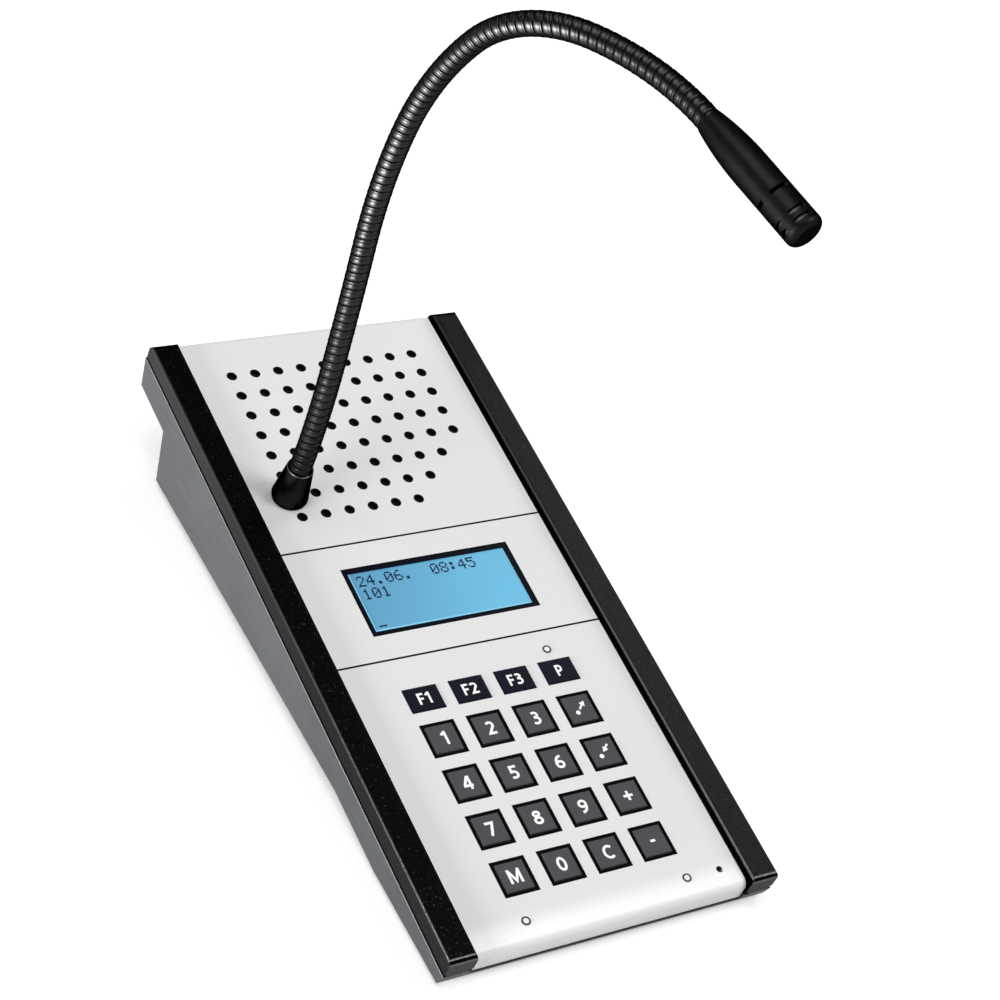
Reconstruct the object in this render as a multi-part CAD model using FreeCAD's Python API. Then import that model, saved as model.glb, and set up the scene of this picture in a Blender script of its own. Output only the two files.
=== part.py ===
import FreeCAD, Part
import math
import os

# Desk intercom station: a wedge housing carries two black rails, and three
# pale plates lie between the rails with a speaker, a display and twenty keys.
# A microphone stands on a gooseneck beside the speaker.
# Sizes are in millimetres. Pieces are drawn on the panel: X to the right,
# Y along the slope from the front lip to the rear, Z out of the plates.
# The finished pieces are then tilted onto the desk.

Vec = FreeCAD.Vector

# Whole station
panel_length = 259.0
plate_width = 103.3
plate_thick = 2.0
display_front = 110.6
display_rear = 159.6
plate_split = 0.67
foot_height = 2.0
heel_clearance = 2.79

# Front and rear lips of the plates
lip_depth = 7.9
lip_radius = 3.0
lip_relief = 1.0
rear_lip_radius = 2.3
rear_lean = 12.5

# Rails
rail_width = 10.7
rail_gap = 0.15
rail_rise = 3.0
rail_slope = 0.65
rail_skirt = 5.2
rail_side_depth = 3.5
rail_setback = 1.8
rail_nose = 1.2
rail_front_round = 2.0
rail_rear_round = 3.0
rail_edge_round = 0.8
rail_inner_round = 1.1
rail_end_wall = 4.0
rail_inner_wall = 1.6
rail_outer_wall = 2.2
rail_roof = 2.0
rail_boss = 10.0
ledge_width = 3.6
ledge_thick = 2.0
ledge_setback = 1.0

# Housing
wall = 2.0
lip_gap = 0.4
shadow_gap = 1.2
shadow_depth = 0.8
skirt_fit = 0.1
front_depth = 10.1
chin_length = 45.0
step_y = 76.2
step_depth = 16.0
heel_setback = 31.4
heel_depth = 37.25
under_setback = 26.1
overhang_depth = 16.6

# Keys
key_pitch_x = 17.6
key_pitch_y = 17.96
first_row_y = 77.1
function_row_gap = 16.2
key_window_x = 13.0
key_window_y = 13.2
function_window_y = 9.7
function_key_gap = 0.2
key_cap_x = 10.1
key_cap_y = 10.5
key_cap_rise = 0.4
key_cap_depth = 4.5
key_bevel = 0.25
key_clearance = 0.2
key_flange = 1.0
key_flange_thick = 1.2
key_flange_gap = 0.1
key_travel = 0.8
guide_thick = 1.2
guide_side = 7.0
guide_end = 2.6
collar_drop = 0.4
collar_clearance = 0.1
plunger_radius = 1.2
plunger_clearance = 0.06
plunger_spare = 0.2
plunger_reach = 0.7
plunger_end_gap = 0.1
switch_side = 5.2
switch_height = 1.9
board_thick = 1.2
stud_radius = 2.0
stud_roof = 0.6

# Display
window_x = 65.9
window_y = 28.9
window_border = 1.95
bezel_gap = 0.2
bezel_drop = 0.25
bezel_lip = 0.5
bezel_flange = 2.6
bezel_flange_thick = 1.0
glass_margin = 1.0
glass_thick = 1.8
glass_fit = 0.1
backlight_thick = 2.6
display_board_x = 80.0
display_board_y = 37.0
display_board_inset = 2.8

# Speaker and its holes
hole_side_margin = 14.85
hole_front_margin = 14.45
hole_rear_margin = 18.8
hole_columns = 9
hole_rows = 8
hole_radius = 1.95
corner_rows = 3
cloth_margin = 4.0
cloth_thick = 0.5
speaker_neck_gap = 4.15
speaker_ring = 4.0
speaker_ring_thick = 1.2
speaker_stud_radius = 1.5
speaker_stud_length = 5.5
ear_radius = 3.6
ear_columns = 2.5
ear_rows = 3.0
basket_depth = 11.0
basket_foot = 16.0
basket_wall = 1.0
basket_windows = 4
basket_window_angle = 60.0
basket_window_turn = 15.0
basket_window_inner = 1.5
basket_window_outer = 2.0
magnet_radius = 17.5
magnet_height = 7.0
cone_wall = 0.5
cone_surround = 1.0
cone_throat = 8.0
cone_depth = 8.0
cone_drop = 0.2
cone_fit = 0.1
cap_radius = 4.0
cap_rise = 2.0
cap_crown = 0.6
coil_wall = 0.6
nut_flats = 5.0
nut_height = 2.0

# Indicator lamps and the small microphone
lamp_radius = 1.05
lamp_length = 4.6
lamp_rise = 0.35
lamp_edge = 0.3
lamp_fit = 0.05
lamp_ring_radius = 1.55
lamp_ring_stem = 1.4
lamp_ring_rise = 0.25
lamp_ring_tail = 1.0
left_lamp = (-30.0, 7.6)
right_lamp = (31.4, 7.6)
upper_lamp_x = 26.3
upper_lamp_setback = 8.0
hearing_hole_inset = 7.18
hearing_hole_y = 7.58
hearing_hole_radius = 1.2
capsule_radius = 3.0
capsule_height = 2.6

# Main board, its socket and the cover below it
board_inset = 12.0
board_front = 30.0
board_rear_gap = 4.5
board_standoff = 3.0
main_board_thick = 1.6
standoff_radius = 3.0
standoff_inset = 5.0
cover_x = 76.0
cover_front = 22.0
cover_length = 108.0
cover_thick = 1.0
cover_ledge = 4.0
cover_fit = 0.1
cover_screw_inset = 13.5
cover_boss = 2.0
socket_inset = 18.35
socket_x = 16.0
socket_y = 15.0
socket_height = 11.0
socket_mouth_x = 11.8
socket_mouth_z = 7.4
socket_bore = 12.0
socket_floor = 1.6
socket_wall_gap = 0.2
socket_cut = 8.0
chip_setback = 28.0
chip_side = 14.0
chip_height = 1.6
amplifier_left = 24.0
amplifier_x = 10.0
amplifier_y = 7.0
can_count = 3
can_left = -34.0
can_setback = 14.0
can_pitch = 9.6
can_radius = 3.2
can_height = 6.0

# Screws
small_shank = 0.8
small_head = 1.7
small_head_height = 1.0
small_screw_length = 3.3
long_shank = 1.45
long_head = 2.6
long_head_height = 2.0
long_screw_length = 10.0
screw_end_gap = 0.1
thread_fit = 0.05
shank_fit = 0.15
head_fit = 0.4
column_radius = 4.2
column_roof = 6.0
column_inset = 5.9
front_column_y = 38.0
rear_column_setback = 59.0
plate_screw_front = 14.0
plate_screw_margin = 8.0
plate_screw_rear = 16.0

# Feet
foot_radius = 6.0
foot_inset = 15.15
front_foot_y = 24.0
rear_foot_setback = 46.0

# Gooseneck. Each of its six stretches is one arc: the first row of angles
# leans it forward, the second row sideways.
neck_row = 6
neck_beside_hole = 1.1
neck_heading_angle = -68.2
forward_angles = (-14.2, -2.7, 19.4, 23.6, 53.7, 14.5)
side_angles = (13.7, 1.8, -11.2, -3.7, 17.2, -22.5)
stretch_length = 44.07
stretch_gap = 2.0
ribs_per_stretch = 15
rib_shoulder = 0.06
rib_shoulder_share = 0.2
neck_radius = 4.0
neck_root = 3.6
neck_bore = 2.4
core_radius = 2.1
core_tail = 6.0
core_lead = 4.0
ferrule_base = 6.6
ferrule_top = 4.75
ferrule_height = 15.5
ferrule_rim = 0.8
ferrule_floor = 3.5
ferrule_stem = 4.9
stem_length = 8.0
stem_fit = 0.1
neck_fit = 0.15
neck_nut_flats = 13.0
neck_nut_height = 4.0
neck_nut_gap = 0.4

# Microphone head
head_length = 46.4
head_radius = 6.0
head_neck = 4.2
head_taper = 19.5
head_seam = 20.0
head_rim = 2.4
head_wall = 1.1
head_socket = 5.0
head_floor = 4.0
head_funnel = 2.0
head_cap_thick = 2.4
spigot_length = 4.0
spigot_fit = 0.05
slot_height = 1.3
slot_depth = 1.4
slots_per_row = 4
slot_angle = 58.0
slot_turn_angle = 3.6
slot_rows = (30.9, 39.2, 42.2)
head_capsule_length = 9.0
capsule_fit = 0.1

# Cutting tools run past the faces that they open, and far past the ends of
# the whole station where they trim it. An edge is the one that is looked for
# if it lies near enough.
past = 1.0
far_past = 30.0
near_enough = 0.01

# Worked out from the sizes above
half_plate = plate_width / 2
rail_inner = half_plate + rail_gap
rail_outer = half_plate + rail_width
lean = math.tan(math.radians(rear_lean))
heel_y = panel_length - heel_setback
under_y = panel_length - under_setback
# The tilt leaves the heel its clearance over the desk.
heel_drop = heel_depth - front_depth
heel_lift = math.asin((heel_clearance - foot_height) / math.hypot(heel_y, heel_drop))
desk_tilt = math.degrees(math.atan2(heel_drop, heel_y) + heel_lift)
chin_depth = front_depth + chin_length * math.tan(math.radians(desk_tilt))
wedge_angle = math.degrees(math.atan2(heel_depth - step_depth, heel_y - step_y))
wedge_length = math.hypot(heel_depth - step_depth, heel_y - step_y)
rear_foot_y = panel_length - rear_foot_setback
foot_x = rail_outer - foot_inset
column_x = rail_outer - column_inset
rear_column_y = panel_length - rear_column_setback

keypad_end = display_front - plate_split / 2
speaker_start = display_rear + plate_split / 2
display_y = (display_front + display_rear) / 2
keypad_columns = [(i - 1.5) * key_pitch_x for i in range(4)]
keypad_rows = [first_row_y - i * key_pitch_y for i in range(4)]
function_row_y = first_row_y + function_row_gap
lamp_places = [left_lamp, right_lamp, (upper_lamp_x, display_front - upper_lamp_setback)]
hearing_hole = (half_plate - hearing_hole_inset, hearing_hole_y)

last_row_y = panel_length - hole_rear_margin
hole_pitch_x = (plate_width - 2 * hole_side_margin) / (hole_columns - 1)
hole_pitch_y = (last_row_y - display_rear - hole_front_margin) / (hole_rows - 1)
hole_field_x = (hole_columns - 1) / 2 * hole_pitch_x
hole_field_y = (hole_rows - 1) / 2 * hole_pitch_y
hole_centre_y = last_row_y - hole_field_y
neck_x = -hole_field_x - neck_beside_hole
neck_y = last_row_y - neck_row * hole_pitch_y
neck_nut_corner = neck_nut_flats / 2 / math.cos(math.radians(30))
neck_to_speaker = math.hypot(neck_x, hole_centre_y - neck_y)
speaker_radius = neck_to_speaker - neck_nut_corner - speaker_neck_gap

guide_bottom = -plate_thick - guide_thick
flange_top = guide_bottom - key_flange_gap
flange_bottom = flange_top - key_flange_thick
cap_bottom = -key_cap_depth
switch_top = cap_bottom - key_travel - plunger_spare
plunger_bottom = switch_top - plunger_reach
keypad_board_top = switch_top - switch_height
keypad_board_bottom = keypad_board_top - board_thick
glass_top = -bezel_drop - bezel_lip
backlight_top = glass_top - glass_thick
display_board_top = backlight_top - backlight_thick
display_board_bottom = display_board_top - board_thick
ledge_bottom = -plate_thick - ledge_thick

nodes = {}


def keep(name, *solids):
    nodes.setdefault(name, []).extend(solids)


def box(x0, x1, y0, y1, z0, z1):
    return Part.makeBox(x1 - x0, y1 - y0, z1 - z0, Vec(x0, y0, z0))


def slab(x, y, width, depth, z0, z1):
    """A box by its middle, its width across and its depth along the panel."""
    return box(x - width / 2, x + width / 2, y - depth / 2, y + depth / 2, z0, z1)


def window(x, y, width, depth, z0, z1):
    """The tool for a rectangular opening: it runs past both faces."""
    return slab(x, y, width, depth, z0 - past, z1 + past)


def post(x, y, z0, z1, radius):
    return Part.makeCylinder(radius, z1 - z0, Vec(x, y, z0))


def drill(x, y, z0, z1, radius):
    """The tool for a round hole: it runs past both faces."""
    return post(x, y, z0 - past, z1 + past, radius)


def hex_nut(x, y, z0, z1, flats, bore):
    corner = flats / 2 / math.cos(math.radians(30))
    turns = [math.radians(60 * i) for i in range(7)]
    rim = [Vec(x + corner * math.cos(t), y + corner * math.sin(t), z0) for t in turns]
    body = Part.Face(Part.makePolygon(rim)).extrude(Vec(0, 0, z1 - z0))
    return body.cut(drill(x, y, z0, z1, bore))


def outline(points):
    """A closed wire through (y, z) points on the plane X = 0."""
    corners = [Vec(0, y, z) for y, z in points]
    return Part.makePolygon(corners + corners[:1])


def prism(wire, half_width):
    face = Part.Face(wire)
    face.translate(Vec(-half_width, 0, 0))
    return face.extrude(Vec(2 * half_width, 0, 0))


def turned(profile):
    """A solid of revolution about Z from (radius, z) points."""
    corners = [Vec(radius, 0, z) for radius, z in profile]
    face = Part.Face(Part.makePolygon(corners + corners[:1]))
    return face.revolve(Vec(0, 0, 0), Vec(0, 0, 1), 360)


def long_edges(solid, direction, near):
    """The straight edges along a direction whose line passes a point."""
    found = []
    for edge in solid.Edges:
        if not isinstance(edge.Curve, Part.Line):
            continue
        run = edge.Curve.Direction
        offset = near - edge.Vertexes[0].Point
        parallel = abs(abs(run.dot(direction)) - 1) < 1e-6
        if parallel and (offset - run * offset.dot(run)).Length < near_enough:
            found.append(edge)
    return found


def top_edges(solid, height):
    return [edge for edge in solid.Edges if edge.BoundBox.ZMin > height - near_enough]


def screw(x, y, seat, length, shank, head, head_height):
    """A screw driven upwards: its head lies under the seat."""
    body = post(x, y, seat - head_height, seat, head)
    return body.fuse(post(x, y, seat, seat + length, shank)).removeSplitter()


def small_screw(x, y, seat, direction=1):
    """The small screw used all over: up from its seat, or down from it."""
    body = screw(x, y, 0, small_screw_length, small_shank, small_head, small_head_height)
    if direction < 0:
        body = body.mirror(Vec(0, 0, 0), Vec(0, 0, 1))
    body.translate(Vec(0, 0, seat))
    return body


def thread_hole(x, y, bottom, seat):
    """The hole from a lower face that the small screw from a seat threads into."""
    tip = seat + small_screw_length + screw_end_gap
    return post(x, y, bottom - past, tip, small_shank + thread_fit)


def on_wedge(shape):
    """Moves a piece drawn on the sloping floor of the housing into place."""
    shape.rotate(Vec(0, 0, 0), Vec(1, 0, 0), -wedge_angle)
    shape.translate(Vec(0, step_y, -step_depth))
    return shape


along_x = Vec(1, 0, 0)
along_y = Vec(0, 1, 0)

# Keypad plate: it bends down over the front edge of the housing.
keypad_panel = prism(outline([(0, -lip_depth), (0, 0), (keypad_end, 0),
                              (keypad_end, -plate_thick), (plate_thick, -plate_thick),
                              (plate_thick, -lip_depth)]), half_plate)
bend = long_edges(keypad_panel, along_x, Vec(0, 0, 0))
keypad_panel = keypad_panel.makeFillet(lip_radius, bend)
bend = long_edges(keypad_panel, along_x, Vec(0, plate_thick, -plate_thick))
keypad_panel = keypad_panel.makeFillet(lip_radius - plate_thick, bend)

# Speaker plate: its rear lip follows the lean of the housing.
sine = math.sin(math.radians(rear_lean))
cosine = math.cos(math.radians(rear_lean))
lip_end_y = panel_length - rail_skirt * lean
lip_inside_y = lip_end_y - plate_thick * cosine
bend_inside_y = panel_length - plate_thick * (cosine + (1 + sine) * lean)
speaker_panel = prism(outline([(speaker_start, 0), (panel_length, 0), (lip_end_y, -rail_skirt),
                               (lip_inside_y, plate_thick * sine - rail_skirt),
                               (bend_inside_y, -plate_thick), (speaker_start, -plate_thick)]),
                      half_plate)
bend = long_edges(speaker_panel, along_x, Vec(0, panel_length, 0))
speaker_panel = speaker_panel.makeFillet(rear_lip_radius, bend)
bend = long_edges(speaker_panel, along_x, Vec(0, bend_inside_y, -plate_thick))
speaker_panel = speaker_panel.makeFillet(rear_lip_radius - plate_thick, bend)

# Display plate: flat, between the other two.
display_panel = box(-half_plate, half_plate, display_front + plate_split / 2,
                    display_rear - plate_split / 2, -plate_thick, 0)

# Speaker holes: the front right corner of the pattern is left blank, and the
# gooseneck takes the place of one hole.
speaker_cuts = [drill(neck_x, neck_y, -plate_thick, 0, ferrule_stem + stem_fit)]
for row in range(hole_rows):
    hole_y = last_row_y - row * hole_pitch_y
    left_out = max(0, row - (hole_rows - corner_rows - 1))
    for column in range(hole_columns - left_out):
        hole_x = column * hole_pitch_x - hole_field_x
        if (row, column) != (neck_row, 0):
            speaker_cuts.append(drill(hole_x, hole_y, -plate_thick, 0, hole_radius))
speaker_panel = speaker_panel.cut(Part.makeCompound(speaker_cuts))

# Studs under the speaker plate take the ears of the speaker, between holes.
ear_places = [(side * ear_columns * hole_pitch_x, hole_centre_y + end * ear_rows * hole_pitch_y)
              for side in (-1, 1) for end in (-1, 1)]
studs = [post(x, y, -plate_thick - speaker_stud_length, -plate_thick / 2, speaker_stud_radius)
         for x, y in ear_places]
speaker_panel = speaker_panel.fuse(studs).removeSplitter()

# Key windows, lamp holes and board studs of the keypad plate
guide_x = keypad_columns[-1] + key_window_x / 2 + guide_side
guide_front = keypad_rows[-1] - key_window_y / 2 - guide_end
guide_rear = function_row_y + function_window_y / 2 + guide_end
stud_x = keypad_columns[-1] + (key_window_x + guide_side) / 2
key_studs = [(side * stud_x, (keypad_rows[i] + keypad_rows[i + 1]) / 2)
             for side in (-1, 1) for i in (0, 2)]
keypad_cuts = [drill(hearing_hole[0], hearing_hole[1], -plate_thick, 0, hearing_hole_radius)]
for x, y in lamp_places:
    keypad_cuts.append(drill(x, y, -plate_thick, 0, lamp_ring_stem + lamp_fit))
for x in keypad_columns:
    keypad_cuts.append(window(x, function_row_y, key_window_x, function_window_y, -plate_thick, 0))
    for y in keypad_rows:
        keypad_cuts.append(window(x, y, key_window_x, key_window_y, -plate_thick, 0))
keypad_panel = keypad_panel.cut(Part.makeCompound(keypad_cuts))
studs = [post(x, y, keypad_board_top, -plate_thick / 2, stud_radius) for x, y in key_studs]
keypad_panel = keypad_panel.fuse(studs).removeSplitter()
for x, y in key_studs:
    keypad_panel = keypad_panel.cut(post(x, y, keypad_board_top - past, -plate_thick - stud_roof,
                                         small_shank + thread_fit))

# Display window and the studs of its board
display_panel = display_panel.cut(window(0, display_y, window_x, window_y, -plate_thick, 0))
display_studs = [(side * (display_board_x / 2 - display_board_inset),
                  display_y + end * (display_board_y / 2 - display_board_inset))
                 for side in (-1, 1) for end in (-1, 1)]
studs = [post(x, y, display_board_top, -plate_thick / 2, stud_radius) for x, y in display_studs]
display_panel = display_panel.fuse(studs).removeSplitter()
for x, y in display_studs:
    display_panel = display_panel.cut(post(x, y, display_board_top - past,
                                           -plate_thick - stud_roof, small_shank + thread_fit))

# Screws go up through the rail ledges into the plates.
plate_screw_x = half_plate - ledge_width / 2
plate_screw_rows = [plate_screw_front, keypad_end - plate_screw_margin,
                    display_front + plate_screw_margin, display_rear - plate_screw_margin,
                    speaker_start + plate_screw_margin, panel_length - plate_screw_rear]
for side in (-1, 1):
    for y in plate_screw_rows:
        hole = thread_hole(side * plate_screw_x, y, -plate_thick, ledge_bottom)
        keypad_panel = keypad_panel.cut(hole)
        display_panel = display_panel.cut(hole)
        speaker_panel = speaker_panel.cut(hole)
        keep("small_screws", small_screw(side * plate_screw_x, y, ledge_bottom))
keep("keypad_panel", keypad_panel)
keep("display_panel", display_panel)
keep("speaker_panel", speaker_panel)

# Rails: one section along the whole side, rounded at both ends and hollowed
# from below between solid bosses.
ledge_inner = half_plate - ledge_width
pocket_inner = rail_inner + rail_inner_wall
pocket_outer = rail_outer - rail_outer_wall
shadow_side = rail_outer - shadow_depth
rail_step = shadow_side - skirt_fit
rail_section = [(rail_step, -rail_skirt), (rail_step, -rail_side_depth),
                (rail_outer, -rail_side_depth), (rail_outer, rail_rise),
                (half_plate + rail_slope, rail_rise), (rail_inner, 0),
                (rail_inner, -plate_thick), (ledge_inner, -plate_thick),
                (ledge_inner, ledge_bottom), (pocket_inner, ledge_bottom),
                (pocket_inner, -rail_skirt)]
corners = [Vec(x, -rail_nose, z) for x, z in rail_section]
rail = Part.Face(Part.makePolygon(corners + corners[:1]))
rail = rail.extrude(Vec(0, panel_length + far_past, 0))
edge = long_edges(rail, along_y, Vec(rail_outer, 0, rail_rise))
rail = rail.makeFillet(rail_edge_round, edge)
edge = long_edges(rail, along_y, Vec(half_plate + rail_slope, 0, rail_rise))
rail = rail.makeFillet(rail_inner_round, edge)
rail_rear = panel_length - rail_setback
front_top = Vec(0, -rail_nose, rail_rise)
rear_top = Vec(0, rail_rear, rail_rise)
rail_ends = prism(outline([(-rail_nose, -far_past), (-rail_nose, rail_rise),
                           (rail_rear, rail_rise), (rail_rear, -far_past)]), rail_outer + past)
rail_ends = rail_ends.makeFillet(rail_front_round, long_edges(rail_ends, along_x, front_top))
rail_ends = rail_ends.makeFillet(rail_rear_round, long_edges(rail_ends, along_x, rear_top))
rail = rail.common(rail_ends)
ledge_front = lip_radius + ledge_setback
ledge_rear = bend_inside_y - rear_lip_radius - ledge_setback
for start, end in ((-far_past, ledge_front), (ledge_rear, panel_length + far_past)):
    rail = rail.cut(box(ledge_inner - past, rail_inner, start, end, -rail_skirt - past, 0))
pocket_ends = [rail_end_wall - rail_nose, front_column_y - rail_boss / 2,
               front_column_y + rail_boss / 2, rear_column_y - rail_boss / 2,
               rear_column_y + rail_boss / 2, rail_rear - rail_end_wall]
for start, end in zip(pocket_ends[0::2], pocket_ends[1::2]):
    rail = rail.cut(box(pocket_inner, pocket_outer, start, end, -rail_skirt - past,
                        rail_rise - rail_roof))
for y in plate_screw_rows:
    rail = rail.cut(drill(plate_screw_x, y, ledge_bottom, -plate_thick, small_shank + shank_fit))
column_seat = -rail_skirt - column_roof
long_tip = column_seat + long_screw_length + screw_end_gap
for y in (front_column_y, rear_column_y):
    rail = rail.cut(post(column_x, y, -rail_skirt - past, long_tip, long_shank + thread_fit))
keep("rail_right", rail)
keep("rail_left", rail.mirror(Vec(0, 0, 0), Vec(1, 0, 0)))

# Housing: a tub with the photographed side outline, cut off below the rails
front_run = rail_nose / (front_depth - rail_skirt)
side_wire = outline([(-rail_nose - (far_past + rail_skirt) * front_run, far_past),
                     (0, -front_depth), (chin_length, -chin_depth), (step_y, -step_depth),
                     (heel_y, -heel_depth), (under_y, -overhang_depth),
                     (panel_length - overhang_depth * lean, -overhang_depth),
                     (panel_length + far_past * lean, far_past)])
tall_tub = prism(side_wire, rail_outer)
tub = tall_tub.cut(prism(side_wire.makeOffset2D(-wall, 2, False, False), rail_outer - wall))
front_end = -far_past
rear_end = panel_length + far_past
tub_trims = [(-shadow_side, shadow_side, front_end, rear_end, -rail_skirt),
             (shadow_side, rail_outer + past, front_end, rear_end, -rail_side_depth - shadow_gap),
             (-rail_outer - past, -shadow_side, front_end, rear_end, -rail_side_depth - shadow_gap),
             (-rail_inner, rail_inner, front_end, plate_thick + lip_relief, -lip_depth - lip_gap),
             (-rail_inner, rail_inner, lip_inside_y - lip_relief, rear_end, -rail_skirt - lip_gap)]
for x0, x1, y0, y1, bottom in tub_trims:
    tub = tub.cut(box(x0, x1, y0, y1, bottom, far_past + past))

# Columns in the tub take the long screws into the rails.
column_places = [(side * column_x, y) for side in (-1, 1) for y in (front_column_y, rear_column_y)]
lowest = -heel_depth - past
columns = [post(x, y, lowest, -rail_skirt, column_radius).common(tall_tub)
           for x, y in column_places]
tub = tub.fuse(columns).removeSplitter()
for x, y in column_places:
    tub = tub.cut(post(x, y, lowest, column_seat, long_head + head_fit))
    tub = tub.cut(drill(x, y, column_seat, -rail_skirt, long_shank + shank_fit))
    keep("housing_screws", screw(x, y, column_seat, long_screw_length, long_shank, long_head,
                                 long_head_height))

# Standoffs for the main board on the wedge floor
board_rear = wedge_length - board_rear_gap
board_half_x = rail_outer - board_inset
board_bottom = wall + board_standoff
board_top = board_bottom + main_board_thick
standoff_rear = board_rear - standoff_inset - socket_y
standoff_places = [(side * (board_half_x - standoff_inset), y) for side in (-1, 1)
                   for y in (board_front + standoff_inset, standoff_rear)]
standoffs = [on_wedge(post(x, y, wall / 2, board_bottom, standoff_radius))
             for x, y in standoff_places]
tub = tub.fuse(standoffs).removeSplitter()
board_screw_end = board_top - small_screw_length - screw_end_gap
for x, y in standoff_places:
    tub = tub.cut(on_wedge(post(x, y, board_screw_end, board_bottom + past,
                                small_shank + thread_fit)))

# Service cover, let into the floor and screwed to bosses on its ledge
cover_y = cover_front + cover_length / 2
hatch = window(0, cover_y, cover_x - 2 * cover_ledge, cover_length - 2 * cover_ledge, 0, wall)
rebate = slab(0, cover_y, cover_x, cover_length, -past, cover_thick)
tub = tub.cut(on_wedge(hatch)).cut(on_wedge(rebate))
cover = slab(0, cover_y, cover_x - 2 * cover_fit, cover_length - 2 * cover_fit, 0, cover_thick)
cover_places = [(side * (cover_x - cover_ledge) / 2,
                 cover_y + end * (cover_length / 2 - cover_screw_inset))
                for side in (-1, 1) for end in (-1, 1)]
for x, y in cover_places:
    cover = cover.cut(drill(x, y, 0, cover_thick, small_shank + shank_fit))
    boss = post(x, y, (cover_thick + wall) / 2, wall + cover_boss, stud_radius)
    tub = tub.fuse(on_wedge(boss)).removeSplitter()
    tub = tub.cut(on_wedge(thread_hole(x, y, 0, 0)))
    keep("small_screws", on_wedge(small_screw(x, y, 0)))
keep("base_cover", on_wedge(cover))

# Line socket in the rear wall, under the overhang
socket_rear = wedge_length
socket_front = socket_rear - socket_y
socket_half = socket_x / 2
socket_centre = board_half_x - socket_inset
mouth_z = board_top + socket_floor
mouth_half = socket_mouth_x / 2
gap_half = socket_half + socket_wall_gap
tub = tub.cut(on_wedge(box(socket_centre - gap_half, socket_centre + gap_half, socket_front,
                           socket_rear + socket_cut, board_top - socket_wall_gap,
                           board_top + socket_height + socket_wall_gap)))
keep("housing", tub)
socket = box(socket_centre - socket_half, socket_centre + socket_half, socket_front, socket_rear,
             board_top, board_top + socket_height)
socket = socket.cut(box(socket_centre - mouth_half, socket_centre + mouth_half,
                        socket_rear - socket_bore, socket_rear + past, mouth_z,
                        mouth_z + socket_mouth_z))
keep("line_socket", on_wedge(socket))

# Main board and what is soldered to it
main_board = box(-board_half_x, board_half_x, board_front, board_rear, board_bottom, board_top)
for x, y in standoff_places:
    main_board = main_board.cut(drill(x, y, board_bottom, board_top, small_shank + shank_fit))
    keep("small_screws", on_wedge(small_screw(x, y, board_top, -1)))
keep("main_board", on_wedge(main_board))
chip_y = board_front + chip_setback
chip = box(-chip_side / 2, chip_side / 2, chip_y, chip_y + chip_side, board_top,
           board_top + chip_height)
amplifier = box(amplifier_left, amplifier_left + amplifier_x, chip_y, chip_y + amplifier_y,
                board_top, board_top + chip_height)
keep("board_parts", on_wedge(chip), on_wedge(amplifier))
for i in range(can_count):
    can = post(can_left + i * can_pitch, board_front + can_setback, board_top,
               board_top + can_height, can_radius)
    keep("board_parts", on_wedge(can))

# Key guide: a black frame behind the plate whose collars fill the windows
# round the square keys
guide = box(-guide_x, guide_x, guide_front, guide_rear, guide_bottom, -plate_thick)
aperture_x = key_cap_x + 2 * key_clearance
aperture_y = key_cap_y + 2 * key_clearance
collars = []
apertures = []
for x in keypad_columns:
    apertures.append(window(x, function_row_y, key_window_x, function_window_y, guide_bottom, 0))
    for y in keypad_rows:
        collars.append(slab(x, y, key_window_x - 2 * collar_clearance,
                            key_window_y - 2 * collar_clearance, guide_bottom, -collar_drop))
        apertures.append(window(x, y, aperture_x, aperture_y, guide_bottom, 0))
for x, y in key_studs:
    apertures.append(drill(x, y, guide_bottom, 0, stud_radius + collar_clearance))
for x, y in lamp_places:
    apertures.append(drill(x, y, guide_bottom, 0, lamp_ring_stem + 2 * collar_clearance))
keep("key_guide", guide.fuse(collars).removeSplitter().cut(Part.makeCompound(apertures)))

# Keys: each has a cap with a flange below the guide, and the plunger of its
# switch on the keypad board.


def make_key(name, x, y, cap_x, cap_y):
    cap = slab(x, y, cap_x, cap_y, cap_bottom, key_cap_rise)
    cap = cap.makeChamfer(key_bevel, top_edges(cap, key_cap_rise))
    flange = slab(x, y, cap_x + 2 * key_flange, cap_y + 2 * key_flange, flange_bottom, flange_top)
    plunger = post(x, y, plunger_bottom, min(cap_bottom, flange_bottom), plunger_radius)
    keep(name, cap.fuse(flange).removeSplitter(), plunger)
    switch = slab(x, y, switch_side, switch_side, keypad_board_top, switch_top)
    bore_bottom = plunger_bottom - key_travel - plunger_end_gap
    bore = post(x, y, bore_bottom, switch_top + past, plunger_radius + plunger_clearance)
    keep("key_switches", switch.cut(bore))


function_keys = ["key_f1", "key_f2", "key_f3", "key_p"]
square_keys = [["key_1", "key_2", "key_3", "key_arrow_out"],
               ["key_4", "key_5", "key_6", "key_arrow_in"],
               ["key_7", "key_8", "key_9", "key_plus"],
               ["key_m", "key_0", "key_c", "key_minus"]]
for column, x in enumerate(keypad_columns):
    make_key(function_keys[column], x, function_row_y, key_window_x - 2 * function_key_gap,
             function_window_y - 2 * function_key_gap)
    for row, y in enumerate(keypad_rows):
        make_key(square_keys[row][column], x, y, key_cap_x, key_cap_y)

# Keypad board on the studs of the plate
board = box(-guide_x, guide_x, guide_front, guide_rear, keypad_board_bottom, keypad_board_top)
for x, y in key_studs:
    board = board.cut(drill(x, y, keypad_board_bottom, keypad_board_top, small_shank + shank_fit))
    keep("small_screws", small_screw(x, y, keypad_board_bottom))
keep("keypad_board", board)

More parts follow.
